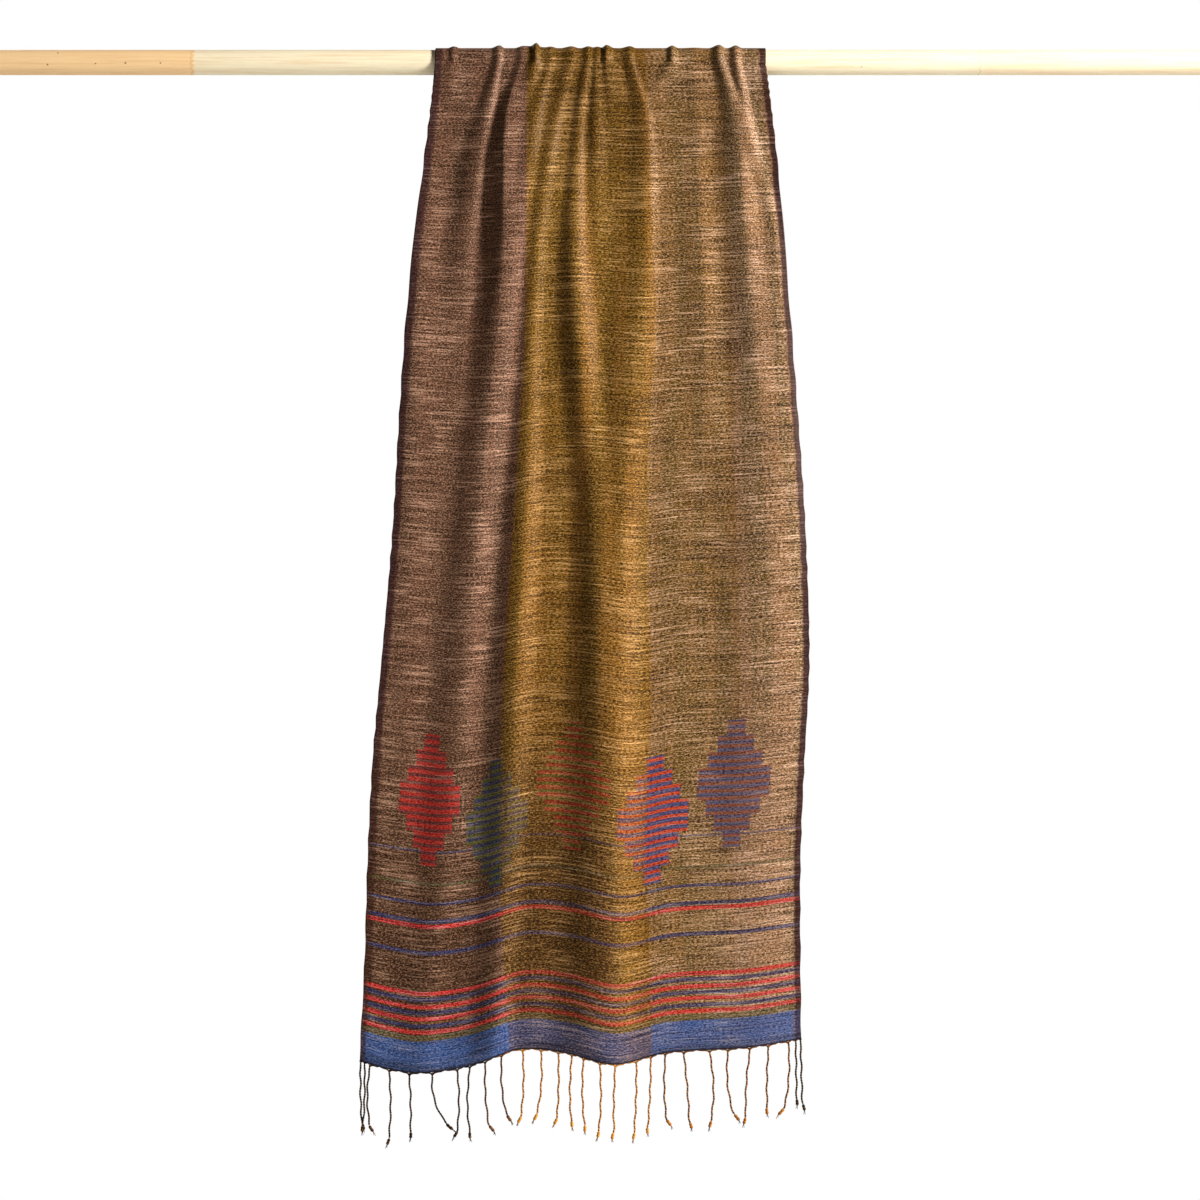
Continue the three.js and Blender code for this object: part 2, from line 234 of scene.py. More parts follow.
def make_lamps():
    """Soft studio lamps round the scarf, the strongest at the front right."""
    for lamp in LAMPS:
        data = bpy.data.lights.new(lamp["name"], "AREA")
        data.size = lamp["size"]
        data.energy = lamp["watts"]
        data.color = lamp["colour"]
        light = add_object(lamp["name"], data)
        light.location = lamp["place"]
        towards = Vector(AIM) - Vector(lamp["place"])
        light.rotation_euler = towards.to_track_quat("-Z", "Y").to_euler()


def make_world():
    """A surround that the camera sees white, and that shines dimly and a little warm."""
    world = bpy.data.worlds.new("surround")
    world.use_nodes = True
    nodes, links = world.node_tree.nodes, world.node_tree.links
    nodes.clear()
    output = nodes.new("ShaderNodeOutputWorld")
    path, choose = nodes.new("ShaderNodeLightPath"), nodes.new("ShaderNodeMixShader")
    links.new(path.outputs["Is Camera Ray"], choose.inputs[0])
    for row in WORLD:
        background = nodes.new("ShaderNodeBackground")
        background.inputs["Strength"].default_value = row["strength"]
        background.inputs["Color"].default_value = (*row["colour"], 1)
        links.new(background.outputs[0], choose.inputs[2 if row["seen"] else 1])
    links.new(choose.outputs[0], output.inputs[0])
    bpy.context.scene.world = world


# ---- curves and steps


def smooth(q):
    """Rises from 0 at q = 0 to 1 at q = 1, level at both."""
    q = np.clip(q, 0, 1)
    return q * q * (3 - 2 * q)


def bell(q):
    """Falls from 1 at q = 0 to 0 at q = 1, level at both."""
    return 0.5 * (1 + np.cos(math.pi * q))


def mix(a, b, share):
    return a + (b - a) * share


def curve_through(rows, key, column):
    """A smooth curve through a table's rows, held level past its ends."""
    x = np.array([row[key] for row in rows], float)
    y = np.array([row[column] for row in rows], float)
    last = len(x) - 1
    before = np.maximum(np.arange(last + 1) - 1, 0)
    after = np.minimum(np.arange(last + 1) + 1, last)
    slopes = (y[after] - y[before]) / (x[after] - x[before])

    def curve(at):
        held = np.clip(at, x[0], x[last])
        i = np.minimum(np.searchsorted(x, held, side="right") - 1, last - 1)
        step = x[i + 1] - x[i]
        q = (held - x[i]) / step
        bend = (1 - q) * slopes[i] - q * slopes[i + 1]
        return mix(y[i], y[i + 1], smooth(q)) + step * q * (1 - q) * bend

    return curve


def prepare_fold(row, wander=1.0, reach=None, height=1.0):
    """A fold of a table with its crest's line as a curve. wander: the share that the line keeps of its way
    aside. reach: the depth where it ends at the latest. height: the share it keeps of its rise."""
    fold = dict(row)
    stops = [dict(down=down, x=mix(row["top"], row[key], wander)) for key, down in FOLD_DEPTHS.items()]
    fold["crest"] = curve_through(stops, "down", "x")
    fold["height"] = mix(row["crown"], row["height"], height)
    fold["reach"] = min(row["reach"], reach or row["reach"])
    fold["peak"] = min(row["peak"], PEAK_LATEST * fold["reach"])
    return fold


FRONT["folds"] = [prepare_fold(row) for row in FOLDS]
BACK["folds"] = [prepare_fold(row, **BACK_FOLD) for row in FOLDS]
BACK["folds"] += [prepare_fold(row) for row in BACK_FOLDS]
for fall in (FRONT, BACK):
    fall["left"] = curve_through(fall["outline"], "down", "left")
    fall["right"] = curve_through(fall["outline"], "down", "right")
    fall["hem_at"] = curve_through(fall["hem"], "x", "down")
first_joint = curve_through(JOINTS, "down", "first")
second_joint = curve_through(JOINTS, "down", "second")


# ---- the cloth's surface


def fold_shape(fold, x, down):
    """How far a place is to the right of a fold's crest, how far out on the flank, from 0 on the crest to 1
    at the foot, the fold's height there and the flank's width."""
    opened = smooth(down / fold["peak"])
    aside = x - fold["crest"](down)
    width = np.where(aside < 0, fold["left"], fold["right"]) * mix(fold["narrow"], 1, opened)
    out = np.clip(np.abs(aside) / width, 0, 1)
    gone = np.clip((down - fold["peak"]) / (fold["reach"] - fold["peak"]), 0, 1)
    height = mix(fold["crown"], fold["height"], opened) * (1 - gone) ** FADE_POWER
    return aside, out, height, width


def lift_at(fall, x, down):
    """How far the folds lift the cloth off the plane that it would hang in."""
    depth = np.maximum(down, 0)
    lift = 0
    for fold in fall["folds"]:
        aside, out, height, _ = fold_shape(fold, x, depth)
        creased = np.where(aside < 0, fold["sharp"], 0)
        lift = lift + height * mix(bell(out), (1 - out) ** CREASE_POWER, creased)
    return lift


def hidden_at(fall, x, down):
    """The cloth that the folds hide, for each millimetre of x."""
    depth = np.maximum(down, 0)
    hidden = 0
    for fold in fall["folds"]:
        _, out, _, width = fold_shape(fold, x, depth)
        kept = fold["take"] * (1 - np.clip(depth / fold["reach"], 0, 1) ** fold["hold"])
        hidden = hidden + kept * bell(out) / width
    return hidden


def fall_x(fall, v, down):
    """x of a column of the grid at a depth. v is its x on the rod, and it follows the guiding folds."""
    depth = np.maximum(down, 0)
    lines = [fall["left"]] + [fold["crest"] for fold in fall["folds"] if fold["guide"]] + [fall["right"]]
    x = lines[0](depth)
    for here, after in zip(lines, lines[1:]):
        top, next_top = here(0.0), after(0.0)
        x = x + np.clip((v - top) / (next_top - top), 0, 1) * (after(depth) - here(depth))
    return x


def hem_down(fall, v):
    """The length of a column of a fall."""
    return fall["hem_at"](fall_x(fall, v, fall["drop"]))


def fall_points(fall, x, down):
    """Points in the middle of the cloth's wall on a fall, with x, y and z last in the array."""
    return np.stack([x, fall["side"] * (TURN_RADIUS + lift_at(fall, x, down)), -down], axis=-1)


def turn_points(x, turn):
    """The same on the rod, at angles from its top, negative at the front."""
    radius = TURN_RADIUS + lift_at(FRONT, x, 0 * x)
    return np.stack([x, radius * np.sin(turn), radius * np.cos(turn)], axis=-1)


def along_fall(fall, v, down):
    """How far above the fall's own hem a place is along the cloth. The hem's sway dies out upwards."""
    sway = (hem_down(fall, v) - fall["drop"]) * np.clip(down / fall["drop"], 0, 1)
    return fall["drop"] + sway - down


def across_row(fall, points, down):
    """The place across the flat cloth of each point of a row. Between the selvedges and the joints of the
    warp's colours, it is worked out from the row's length and the cloth that the folds hide."""
    x = points[:, 0]
    step = np.hypot(np.diff(x), np.diff(points[:, 1]))
    hidden = hidden_at(fall, x, down)
    step = step + 0.5 * (hidden[1:] + hidden[:-1]) * np.diff(x)
    length = np.concatenate([[0], np.cumsum(step)])
    depth = np.mean(np.maximum(down, 0))
    joints = np.interp([first_joint(depth), second_joint(depth)], x, length)
    known = [0, joints[0], joints[1], length[-1]]
    return np.interp(length, known, [0, WARP_JOINTS[0], WARP_JOINTS[1], CLOTH["width"]])


# ---- meshes


class Parts:
    """Collects points, faces and the flat place of each point, and makes one mesh of them."""

    def __init__(self):
        self.points, self.faces, self.flat, self.count = [], [], [], 0

    def add(self, points, faces, flat):
        self.points.append(np.asarray(points, float).reshape(-1, 3))
        self.flat.append(np.asarray(flat, float).reshape(-1, 3))
        self.faces.extend([tuple(i + self.count for i in face) for face in faces])
        self.count += len(self.points[-1])

    def piece(self, name, material):
        """Makes the object. Its points are in millimetres here and in metres in the mesh."""
        mesh = bpy.data.meshes.new(name)
        mesh.from_pydata((np.concatenate(self.points) * MM).tolist(), [], self.faces)
        attribute = mesh.attributes.new("flat", "FLOAT_VECTOR", "POINT")
        attribute.data.foreach_set("vector", np.concatenate(self.flat).astype(np.float32).ravel())
        mesh.polygons.foreach_set("use_smooth", [True] * len(mesh.polygons))
        mesh.update()
        piece = add_object(name, mesh)
        mesh.materials.append(material)
        return piece


def grid_normals(points):
    """The outward normals of a grid whose rows go up the front, over the rod and down the back."""
    along = np.gradient(points, axis=0)
    across = np.gradient(points, axis=1)
    normals = np.cross(across, along)
    return normals / np.linalg.norm(normals, axis=-1, keepdims=True)


def shell_faces(rows, columns):
    """Faces of a closed shell over two layers of a grid, the outer layer first."""
    layer = rows * columns
    faces = []
    for j in range(rows - 1):
        for i in range(columns - 1):
            a = j * columns + i
            b, c, d = a + 1, a + columns + 1, a + columns
            faces.append((a, b, c, d))
            faces.append((layer + a, layer + d, layer + c, layer + b))
    rim = list(range(columns - 1))
    rim += [j * columns + columns - 1 for j in range(rows - 1)]
    rim += [(rows - 1) * columns + i for i in range(columns - 1, 0, -1)]
    rim += [j * columns for j in range(rows - 1, 0, -1)]
    for k, a in enumerate(rim):
        b = rim[(k + 1) % len(rim)]
        faces.append((b, a, layer + a, layer + b))
    return faces


def tube(centres, radii, sides):
    """Points and faces of a closed tube round a line of centres that never runs along Y."""
    centres = np.asarray(centres, float)
    ahead = np.gradient(centres, axis=0)
    ahead /= np.linalg.norm(ahead, axis=1, keepdims=True)
    aside = np.cross(ahead, (0.0, 1.0, 0.0))
    aside /= np.linalg.norm(aside, axis=1, keepdims=True)
    other = np.cross(ahead, aside)
    angles = 2 * math.pi * np.arange(sides) / sides
    ring = np.cos(angles)[None, :, None] * aside[:, None] + np.sin(angles)[None, :, None] * other[:, None]
    points = centres[:, None] + ring * np.broadcast_to(radii, len(centres))[:, None, None]
    faces = []
    for r in range(len(centres) - 1):
        for k in range(sides):
            a, b = r * sides + k, r * sides + (k + 1) % sides
            faces.append((a, b, b + sides, a + sides))
    end = (len(centres) - 1) * sides
    faces.append(tuple(reversed(range(sides))))
    faces.append(tuple(end + k for k in range(sides)))
    return points.reshape(-1, 3), faces


# ---- the cloth

ROWS = dict(front=110, turn=22, back=80)
COLUMNS = 230
CROWDING = 1.5  # the power that brings a fall's rows closer together near the rod
# The small waves of a selvedge, where the weft turns back. draw: how far they draw it in. turn: radians for
# each millimetre down. full: the depth where they are fully grown. shift: added to the depth on the right.
SELVEDGE = dict(draw=1.1, turn=0.83, full=60, shift=300)


def selvedge_wave(down):
    """How far a selvedge is drawn in at a depth."""
    wave = 0.5 + 0.5 * math.sin(SELVEDGE["turn"] * down)
    return SELVEDGE["draw"] * wave * smooth(down / SELVEDGE["full"])


def cloth_grid():
    """The cloth's middle surface as a grid of points, and each point's flat place."""
    v = np.linspace(FRONT["left"](0.0), FRONT["right"](0.0), COLUMNS)
    points, flat = [], []

    def add_row(row, across, along):
        points.append(row)
        flat.append(np.stack([across, along, 0 * v], axis=-1))

    def fall_row(fall, share):
        """A row at a share of a fall's length, with its places across and up from the fall's hem."""
        down = hem_down(fall, v) * share ** CROWDING
        x = fall_x(fall, v, down)
        x[0] += selvedge_wave(down[0])
        x[-1] -= selvedge_wave(down[-1] + SELVEDGE["shift"])
        row = fall_points(fall, x, down)
        return row, across_row(fall, row, down), along_fall(fall, v, down)

    for share in np.linspace(1, 0, ROWS["front"], endpoint=False):
        add_row(*fall_row(FRONT, share))
    for turn in np.linspace(-0.5, 0.5, ROWS["turn"]) * math.pi:
        row = turn_points(fall_x(FRONT, v, 0 * v), turn)
        across = across_row(FRONT, turn_points(row[:, 0], -math.pi / 2), 0 * v)
        add_row(row, across, FRONT["drop"] + TURN_RADIUS * (turn + math.pi / 2) + 0 * v)
    for share in np.linspace(0, 1, ROWS["back"] + 1)[1:]:
        row, across, from_hem = fall_row(BACK, share)
        add_row(row, across, CLOTH_LENGTH - from_hem)
    return np.array(points), np.array(flat)


def make_cloth(material):
    """The whole cloth as one closed sheet round its middle surface."""
    points, flat = cloth_grid()
    normals = grid_normals(points)
    half = CLOTH["wall"] / 2
    layers = np.concatenate([(points + normals * out).reshape(-1, 3) for out in (half, -half)])
    parts = Parts()
    parts.add(layers, shell_faces(*points.shape[:2]), np.concatenate([flat.reshape(-1, 3)] * 2))
    return parts.piece("silk_scarf", material)


# ---- the fringes

# A ply of a strand. offset: from the strand's line. pitch: of a full twist. step: between the rings of its
# mesh. root_offset, root_radius: the shares of the offset and the radius at the root.
PLY = dict(radius=0.7, offset=0.44, pitch=5.2, sides=5, step=0.8, root_offset=0.7, root_radius=0.94)
# How far a strand strays aside and outwards, with the radians for each millimetre down. settle: the depth
# where it strays fully. bend_from, bend_over: where its tail bends, as shares of its length.
STRAY = dict(aside=0.5, aside_turn=0.31, out=0.7, out_turn=0.23, settle=12, bend_from=0.8, bend_over=0.2)
# A knot, as a double bead from its start, at 0, to its end, at 1.
KNOT = dict(length=6.0, sides=8)
KNOT_BEADS = table("at radius", [
    (-0.05, 0.55),
    (0.08, 1.21),
    (0.25, 1.65),
    (0.42, 1.43),
    (0.55, 1.375),
    (0.72, 1.705),
    (0.9, 1.32),
    (1, 0.66),
])
# Loose threads below a knot. uneven: how far their lengths sway. inside: the length that the knot hides.
# apart: how far the tips stand off. thick, thin: the radius at the knot and at the tip.
LOOSE = dict(threads=3, length=4.0, uneven=0.8, inside=0.6, apart=1.1, thick=0.36, thin=0.21, rings=5,
             sides=4)
# Warp ends that gather into a strand. gather: how far below the root they meet. spread: how far they reach
# towards the next strand. hug: the power that keeps them at the hem. They lie in rows. top: how far below
# the hem the first row is. along: their place along the cloth, just past its hem.
ROOT = dict(threads=13, radius=0.34, sides=4, rings=10, gather=4.0, spread=0.47, hug=6)
ROOT_ROWS = dict(count=3, top=0.1, height=0.3, along=-1.0)


def strand_rows(fall):
    """The strands of a fall's fringe, as rows of FRONT_STRANDS."""
    if fall is FRONT:
        return FRONT_STRANDS
    inset, count = BACK_STRANDS["inset"], BACK_STRANDS["count"]
    rows = []
    for k in range(count):
        row = dict(root=inset + (CLOTH["width"] - 2 * inset) * k / (count - 1), tail=0)
        for key in ("length", "lean", "bow"):
            middle, sway, turn = BACK_STRANDS[key]
            row[key] = middle + sway * math.sin(k * turn)
        rows.append(row)
    return rows


def hem_point(fall, across, below):
    """A point a little below the hem of a fall, at a place across the cloth."""
    x = mix(fall["left"](fall["drop"]), fall["right"](fall["drop"]), across / CLOTH["width"])
    return fall_points(fall, x, fall["hem_at"](x) + below)


def strand_centre(start, row, hung):
    """Points on a strand's line, at distances hung below its root."""
    share = hung / row["length"]
    bend = smooth((share - STRAY["bend_from"]) / STRAY["bend_over"]) ** 2
    stray = smooth(hung / STRAY["settle"])
    x = row["lean"] * share + row["bow"] * np.sin(math.pi * share) + row["tail"] * bend
    x = x + STRAY["aside"] * np.sin(hung * STRAY["aside_turn"] + row["root"]) * stray
    y = STRAY["out"] * np.sin(hung * STRAY["out_turn"] + 2 * row["root"]) * stray
    return start + np.stack([x, y, -hung], axis=-1)


def add_thread(parts, centre, radii, sides, across, along, number):
    """A tube with the flat places of its rings. An odd number gives it its strand's second colour."""
    points, faces = tube(centre, radii, sides)
    along = np.repeat(np.broadcast_to(along, len(centre)), sides)
    parts.add(points, faces, np.stack(np.broadcast_arrays(across, along, number), axis=-1))


def add_strand(parts, start, row, number):
    """A two-ply twisted thread that ends in a knot and short loose threads."""
    body = row["length"] - KNOT["length"] - LOOSE["length"] / 2
    hung = np.arange(0, body, PLY["step"])
    centre = strand_centre(start, row, hung)
    gathered = smooth(hung / ROOT["gather"])
    offset = PLY["offset"] * mix(PLY["root_offset"], 1, gathered)
    radius = PLY["radius"] * mix(PLY["root_radius"], 1, gathered)
    for ply in range(2):
        turn = 2 * math.pi * hung / PLY["pitch"] + math.pi * ply + number
        swing = np.stack([np.cos(turn), np.sin(turn), 0 * turn], axis=-1) * offset[:, None]
        add_thread(parts, centre + swing, radius, PLY["sides"], row["root"], -hung, 2 * number + ply)
    add_knot(parts, start, row, body, number)
    add_loose_threads(parts, start, row, body + KNOT["length"], number)


def add_knot(parts, start, row, body, number):
    """An overhand knot drawn tight, below a strand's body."""
    hung = np.array([body + KNOT["length"] * bead["at"] for bead in KNOT_BEADS])
    radii = [bead["radius"] for bead in KNOT_BEADS]
    centre = strand_centre(start, row, hung)
    add_thread(parts, centre, radii, KNOT["sides"], row["root"], -hung, 2 * number)


def add_loose_threads(parts, start, row, end, number):
    """A few thread ends that stand apart below the knot's end."""
    share = np.linspace(0, 1, LOOSE["rings"])
    for thread in range(LOOSE["threads"]):
        away = 2 * math.pi * thread / LOOSE["threads"] + number
        length = LOOSE["length"] + LOOSE["uneven"] * math.sin(3 * number + thread)
        centre = strand_centre(start, row, end - LOOSE["inside"] + share * length)
        centre = centre + share[:, None] * np.array([math.cos(away), math.sin(away), 0]) * LOOSE["apart"]
        radii = mix(LOOSE["thick"], LOOSE["thin"], share)
        add_thread(parts, centre, radii, LOOSE["sides"], row["root"], -end, 2 * number + 1)


def root_reach(roots, number):
    """The places across the cloth between which a strand's warp ends begin."""
    here = roots[number]
    left = mix(here, roots[number - 1], ROOT["spread"]) if number > 0 else 0.0
    right = mix(here, roots[number + 1], ROOT["spread"]) if number < len(roots) - 1 else CLOTH["width"]
    return left, right


def add_root_threads(parts, fall, start, row, reach, number):
    """Warp ends that run along the hem from both sides and gather into a strand."""
    share = np.linspace(0, 1, ROOT["rings"])
    goal = strand_centre(start, row, np.array([ROOT["gather"]]))[0]
    for thread, across in enumerate(np.linspace(*reach, ROOT["threads"])):
        below = ROOT_ROWS["top"] + ROOT_ROWS["height"] * (thread % ROOT_ROWS["count"])
        hugging = hem_point(fall, mix(across, row["root"], share), below)
        centre = mix(hugging, goal, (share ** ROOT["hug"])[:, None])
        along = ROOT_ROWS["along"]
        add_thread(parts, centre, ROOT["radius"], ROOT["sides"], across, along, 2 * number + thread)


def make_fringe(fall, name, material):
    """All strands of a fall's fringe as one piece."""
    parts = Parts()
    rows = strand_rows(fall)
    roots = [row["root"] for row in rows]
    for number, row in enumerate(rows):
        start = hem_point(fall, np.array(row["root"], float), HEM_GAP + STRIP_HEIGHT / 2)
        add_strand(parts, start, row, number)
        add_root_threads(parts, fall, start, row, root_reach(roots, number), number)
    return parts.piece(name, material)


# ---- materials


class Shader:
    """A material's node tree, with short calls for the nodes that the materials share. A value is a socket
    or a constant, and a colour is a socket or sRGB from 0 to 255."""

    def __init__(self, name, constants):
        self.material = bpy.data.materials.new(name)
        self.material.use_nodes = True
        self.tree = self.material.node_tree
        self.tree.nodes.clear()
        self.surface = self.node("BsdfPrincipled", **constants)
        self.node("OutputMaterial", Surface=self.surface.outputs[0])

    def put(self, value, socket):
        """Links a socket, or sets a constant, of which a tuple is a colour."""
        if isinstance(value, bpy.types.NodeSocket):
            self.tree.links.new(value, socket)
        else:
            socket.default_value = linear(value) if isinstance(value, tuple) else value

    def node(self, kind, *values, **named):
        """A new node with values for its first inputs and for those named."""
        node = self.tree.nodes.new("ShaderNode" + kind)
        for value, socket in zip(values, node.inputs):
            self.put(value, socket)
        for name, value in named.items():
            self.put(value, node.inputs[name])
        return node

    def finish(self, colour, *normal):
        """Gives the surface its colour and, if there is one, its normal. Returns the material."""
        for name, value in zip(("Base Color", "Normal"), (colour, *normal)):
            self.put(value, self.surface.inputs[name])
        return self.material

    def math(self, operation, a, b=0.0):
        node = self.node("Math", a, b)
        node.operation = operation
        return node.outputs[0]

    def add(self, a, b):
        return self.math("ADD", a, b)

    def sub(self, a, b):
        return self.math("SUBTRACT", a, b)

    def mul(self, a, b):
        return self.math("MULTIPLY", a, b)

    def between(self, value, low, high, to_low=0.0, to_high=1.0):
        """A value mapped from low..high to to_low..to_high, smoothly, and held past them."""
        node = self.node("MapRange", value, low, high, to_low, to_high)
        node.interpolation_type = "SMOOTHSTEP"
        return node.outputs[0]

    def combine(self, x, y, z=0.0):
        return self.node("CombineXYZ", x, y, z).outputs[0]

    def apart(self, vector):
        return tuple(self.node("SeparateXYZ", vector).outputs)

    def noise(self, vector, scale=1.0, detail=2.0, rough=0.5):
        node = self.node("TexNoise", Vector=vector, Scale=scale, Detail=detail, Roughness=rough)
        return node.outputs["Fac"]

    def mix(self, share, a, b):
        node = self.node("Mix", share)
        node.data_type = "RGBA"
        self.put(a, node.inputs[6])
        self.put(b, node.inputs[7])
        return node.outputs[2]

    def tint(self, colour, value, row):
        """Mixes in a row's colour, whose share grows from 0 to most as the value goes from low to high."""
        share = self.between(value, row["low"], row["high"], 0.0, row["most"])
        return self.mix(share, colour, row["colour"])

    def ramp(self, value, stops, sharp=False):
        """A colour ramp's colour and alpha. The stops are a place from 0 to 1, a colour and an alpha."""
        node = self.node("ValToRGB", value)
        node.color_ramp.interpolation = "CONSTANT" if sharp else "LINEAR"
        elements = node.color_ramp.elements
        while len(elements) < len(stops):
            elements.new(1.0)
        for element, stop in zip(elements, stops):
            element.position = stop[0]
        for element, (_, colour, alpha) in zip(elements, stops):
            element.color = (*linear(colour)[:3], alpha)
        return node.outputs[0], node.outputs[1]

    def flat(self):
        """The place across and along the cloth, in millimetres, and the third number of each point."""
        node = self.node("Attribute")
        node.attribute_name = "flat"
        return self.apart(node.outputs["Vector"])


def linear(colour):
    """An sRGB colour from 0 to 255 as linear RGBA."""
    values = [c / 255 for c in colour[:3]]
    values = [v / 12.92 if v <= 0.04045 else ((v + 0.055) / 1.055) ** 2.4 for v in values]
    return (*values, 1.0)


# The warp's sections across the cloth, with their colours as sRGB. glint: the pale colour of a painted
# highlight on the thick threads. shade: the colour that tints the warp in long bands.
WARP = table("start colour glint shade", [
    (0, (64, 38, 38), (108, 74, 70), (52, 32, 34)),
    (9, (90, 58, 43), (196, 152, 124), (72, 49, 35)),
    (WARP_JOINTS[0], (110, 72, 16), (202, 154, 82), (86, 62, 4)),
    (WARP_JOINTS[1], (114, 80, 27), (218, 175, 136), (86, 66, 4)),
    (392, (126, 90, 50), (228, 188, 158), (90, 70, 18)),
    (453, (46, 26, 28), (84, 52, 52), (42, 24, 26)),
])
SOFT_JOINT = 1.0  # the width over which one section's colour changes to the next one's
DARK_GAP = (26, 13, 6)  # between the threads
BROWN_TONE = (58, 36, 26)
# Broad painted light and shade on the warp: painted shade near the hem over the left of the cloth and
# much of the middle section, a paler, pinker painted light near the hem on the right section, and painted
# shade of the folds by the rod on the middle section, less on the right one. A tint grows from 0 to most
# between the distances start and full from the nearer hem. Across the cloth it grows over the stretch left
# and sinks to the share rest over the stretch right. glint_share: how much of it the glint takes, with its
# own colour.
PAINTED_SHADE_AND_LIGHT = table("start full most left right rest colour glint glint_share", [
    (460, 130, 0.92, (-2, -1), (258, 284), 0.0, (40, 22, 8), (120, 70, 26), 0.34),
    (460, 130, 0.184, (320, 400), (450, 455), 0.0, (196, 156, 132), (196, 156, 132), 0.0),
    (850, 925, 0.4, (150, 160), (296, 310), 0.4, (62, 38, 6), (126, 88, 36), 1.0),
])

# Weft stripes, by distance from the nearer hem. strength: how far the weft covers the warp.
STRIPES = table("start end colour strength", [
    (0, 31, (36, 80, 143), 0.84),
    (31, 37, (84, 78, 34), 0.6),
    (38, 42, (196, 34, 24), 0.86),
    (44, 48, (28, 36, 84), 0.78),
    (48.5, 50, (150, 104, 44), 0.5),
    (51, 55, (196, 34, 24), 0.86),
    (57, 61, (28, 36, 84), 0.78),
    (63, 67, (196, 34, 24), 0.86),
    (70, 74, (28, 36, 84), 0.78),
    (76, 80, (196, 34, 24), 0.86),
    (116, 120, (28, 36, 84), 0.8),
    (142, 146, (196, 34, 24), 0.86),
    (147, 151, (28, 36, 84), 0.8),
    (164.5, 168, (28, 36, 84), 0.78),
    (184, 187, (84, 78, 34), 0.6),
    (216, 218, (34, 40, 84), 0.6),
])
STRIPES_END = 256
NO_WEFT = (110, 80, 50)  # between the stripes, where the strength is 0
# middle, selvedge: how far the stripes cover the middle section and the selvedges. joint: the width of the
# middle's soft edges. left, right: where a selvedge ends. shadow: the colour of thin rows. glint: a pale
# colour, glint_share of which makes the painted highlight of the light threads. shine: how much of the
# warp's painted highlight they take.
WEFT = dict(middle=0.5, joint=4, selvedge=0.25, left=(3, 8), right=(450, 455), shadow=(14, 18, 44),
            glint=(196, 200, 214), glint_share=0.4, shine=0.7)
HEM_EDGE = dict(low=2.2, high=1.1, most=0.85, colour=(22, 16, 20))  # dark, by distance from the hem

# A row of stepped lozenges woven in with extra weft. left: where it begins across the cloth. middle: its
# distance from the nearer hem, and drop: how much less it is for every second one. levels: the steps of an
# edge. stripe: the length of a pair of stripes, and second: the share where its second colour begins.
LOZENGES = dict(left=30, pitch=80, half_width=36, middle=268, half_height=64, levels=4, drop=30,
                stripe=7.5, second=0.56, cover=0.78)
LOZENGE_COLOURS = table("first second", [
    ((170, 34, 34), (96, 36, 42)),
    ((38, 56, 84), (78, 84, 36)),
    ((176, 36, 44), (84, 92, 40)),
    ((48, 62, 118), (190, 52, 34)),
    ((60, 66, 104), (120, 60, 50)),
])


def section_stops(rows, kind):
    """Ramp stops across the cloth for one kind of a table's colours."""
    stops = []
    for row, after in zip(rows, rows[1:] + [dict(start=CLOTH["width"])]):
        stops.append(((row["start"] + SOFT_JOINT / 2) / CLOTH["width"], row[kind], 1))
        stops.append(((after["start"] - SOFT_JOINT / 2) / CLOTH["width"], row[kind], 1))
    return stops


def stripe_stops():
    """Ramp stops along the cloth for the weft stripes, whose alpha is the weft's strength."""
    stops = []
    for row, after in zip(STRIPES, STRIPES[1:] + [dict(start=STRIPES_END)]):
        stops.append((row["start"] / STRIPES_END, row["colour"], row["strength"]))
        if after["start"] > row["end"]:
            stops.append((row["end"] / STRIPES_END, NO_WEFT, 0))
    return stops


def lozenge_layer(shader, across, nearer):
    """The colour of the lozenge row and where it is: 1 in a lozenge and 0 outside, with stepped edges."""
    size = LOZENGES
    cell = shader.math("DIVIDE", shader.sub(across, size["left"]), size["pitch"])
    index = shader.math("FLOOR", cell)
    off_middle = shader.math("ABSOLUTE", shader.sub(shader.math("FRACT", cell), 0.5))
    aside = shader.mul(off_middle, size["pitch"])
    odd = shader.math("MODULO", index, 2.0)
    middle = shader.add(size["middle"], shader.mul(odd, -size["drop"]))
    above = shader.math("ABSOLUTE", shader.sub(nearer, middle))
    levels_aside = shader.math("FLOOR", shader.mul(aside, size["levels"] / size["half_width"]))
    levels_above = shader.math("FLOOR", shader.mul(above, size["levels"] / size["half_height"]))
    count = len(LOZENGE_COLOURS)
    inside = shader.math("LESS_THAN", shader.add(levels_aside, levels_above), size["levels"] - 0.5)
    inside = shader.mul(inside, shader.math("GREATER_THAN", across, size["left"]))
    inside = shader.mul(inside, shader.math("LESS_THAN", across, size["left"] + count * size["pitch"]))
    place = shader.math("DIVIDE", shader.add(index, 0.5), count)
    colours = []
    for kind in ("first", "second"):
        stops = [(k / count, row[kind], 1) for k, row in enumerate(LOZENGE_COLOURS)]
        colours.append(shader.ramp(place, stops, sharp=True)[0])
    turn = shader.math("FRACT", shader.math("DIVIDE", nearer, size["stripe"]))
    return shader.mix(shader.math("GREATER_THAN", turn, size["second"]), *colours), inside


SILK = {"Roughness": 0.42, "Specular IOR Level": 0.12, "Specular Tint": (255, 222, 200),
        "Sheen Weight": 0.03, "Sheen Roughness": 0.4, "Sheen Tint": (255, 206, 170)}
# How far the rows of the weave and the stripes wander along the cloth, by a slow noise.
SWAY = dict(across=0.012, along=0.05, rows=2.0, stripes=1.2)
# The weave's noises. across, along: the scale for each millimetre.
NOISES = table("name across along detail rough", [
    ("grain", 0.36, 0.8, 4.0, 0.85),
    ("streaks", 0.012, 0.6, 2.0, 0.5),
    ("lines", 0.03, 0.5, 2.0, 0.5),
    ("clusters", 0.022, 0.03, 2.0, 0.5),
    ("tones", 0.006, 0.02, 3.0, 0.5),
    ("bands", 0.05, 0.0016, 2.0, 0.5),
])
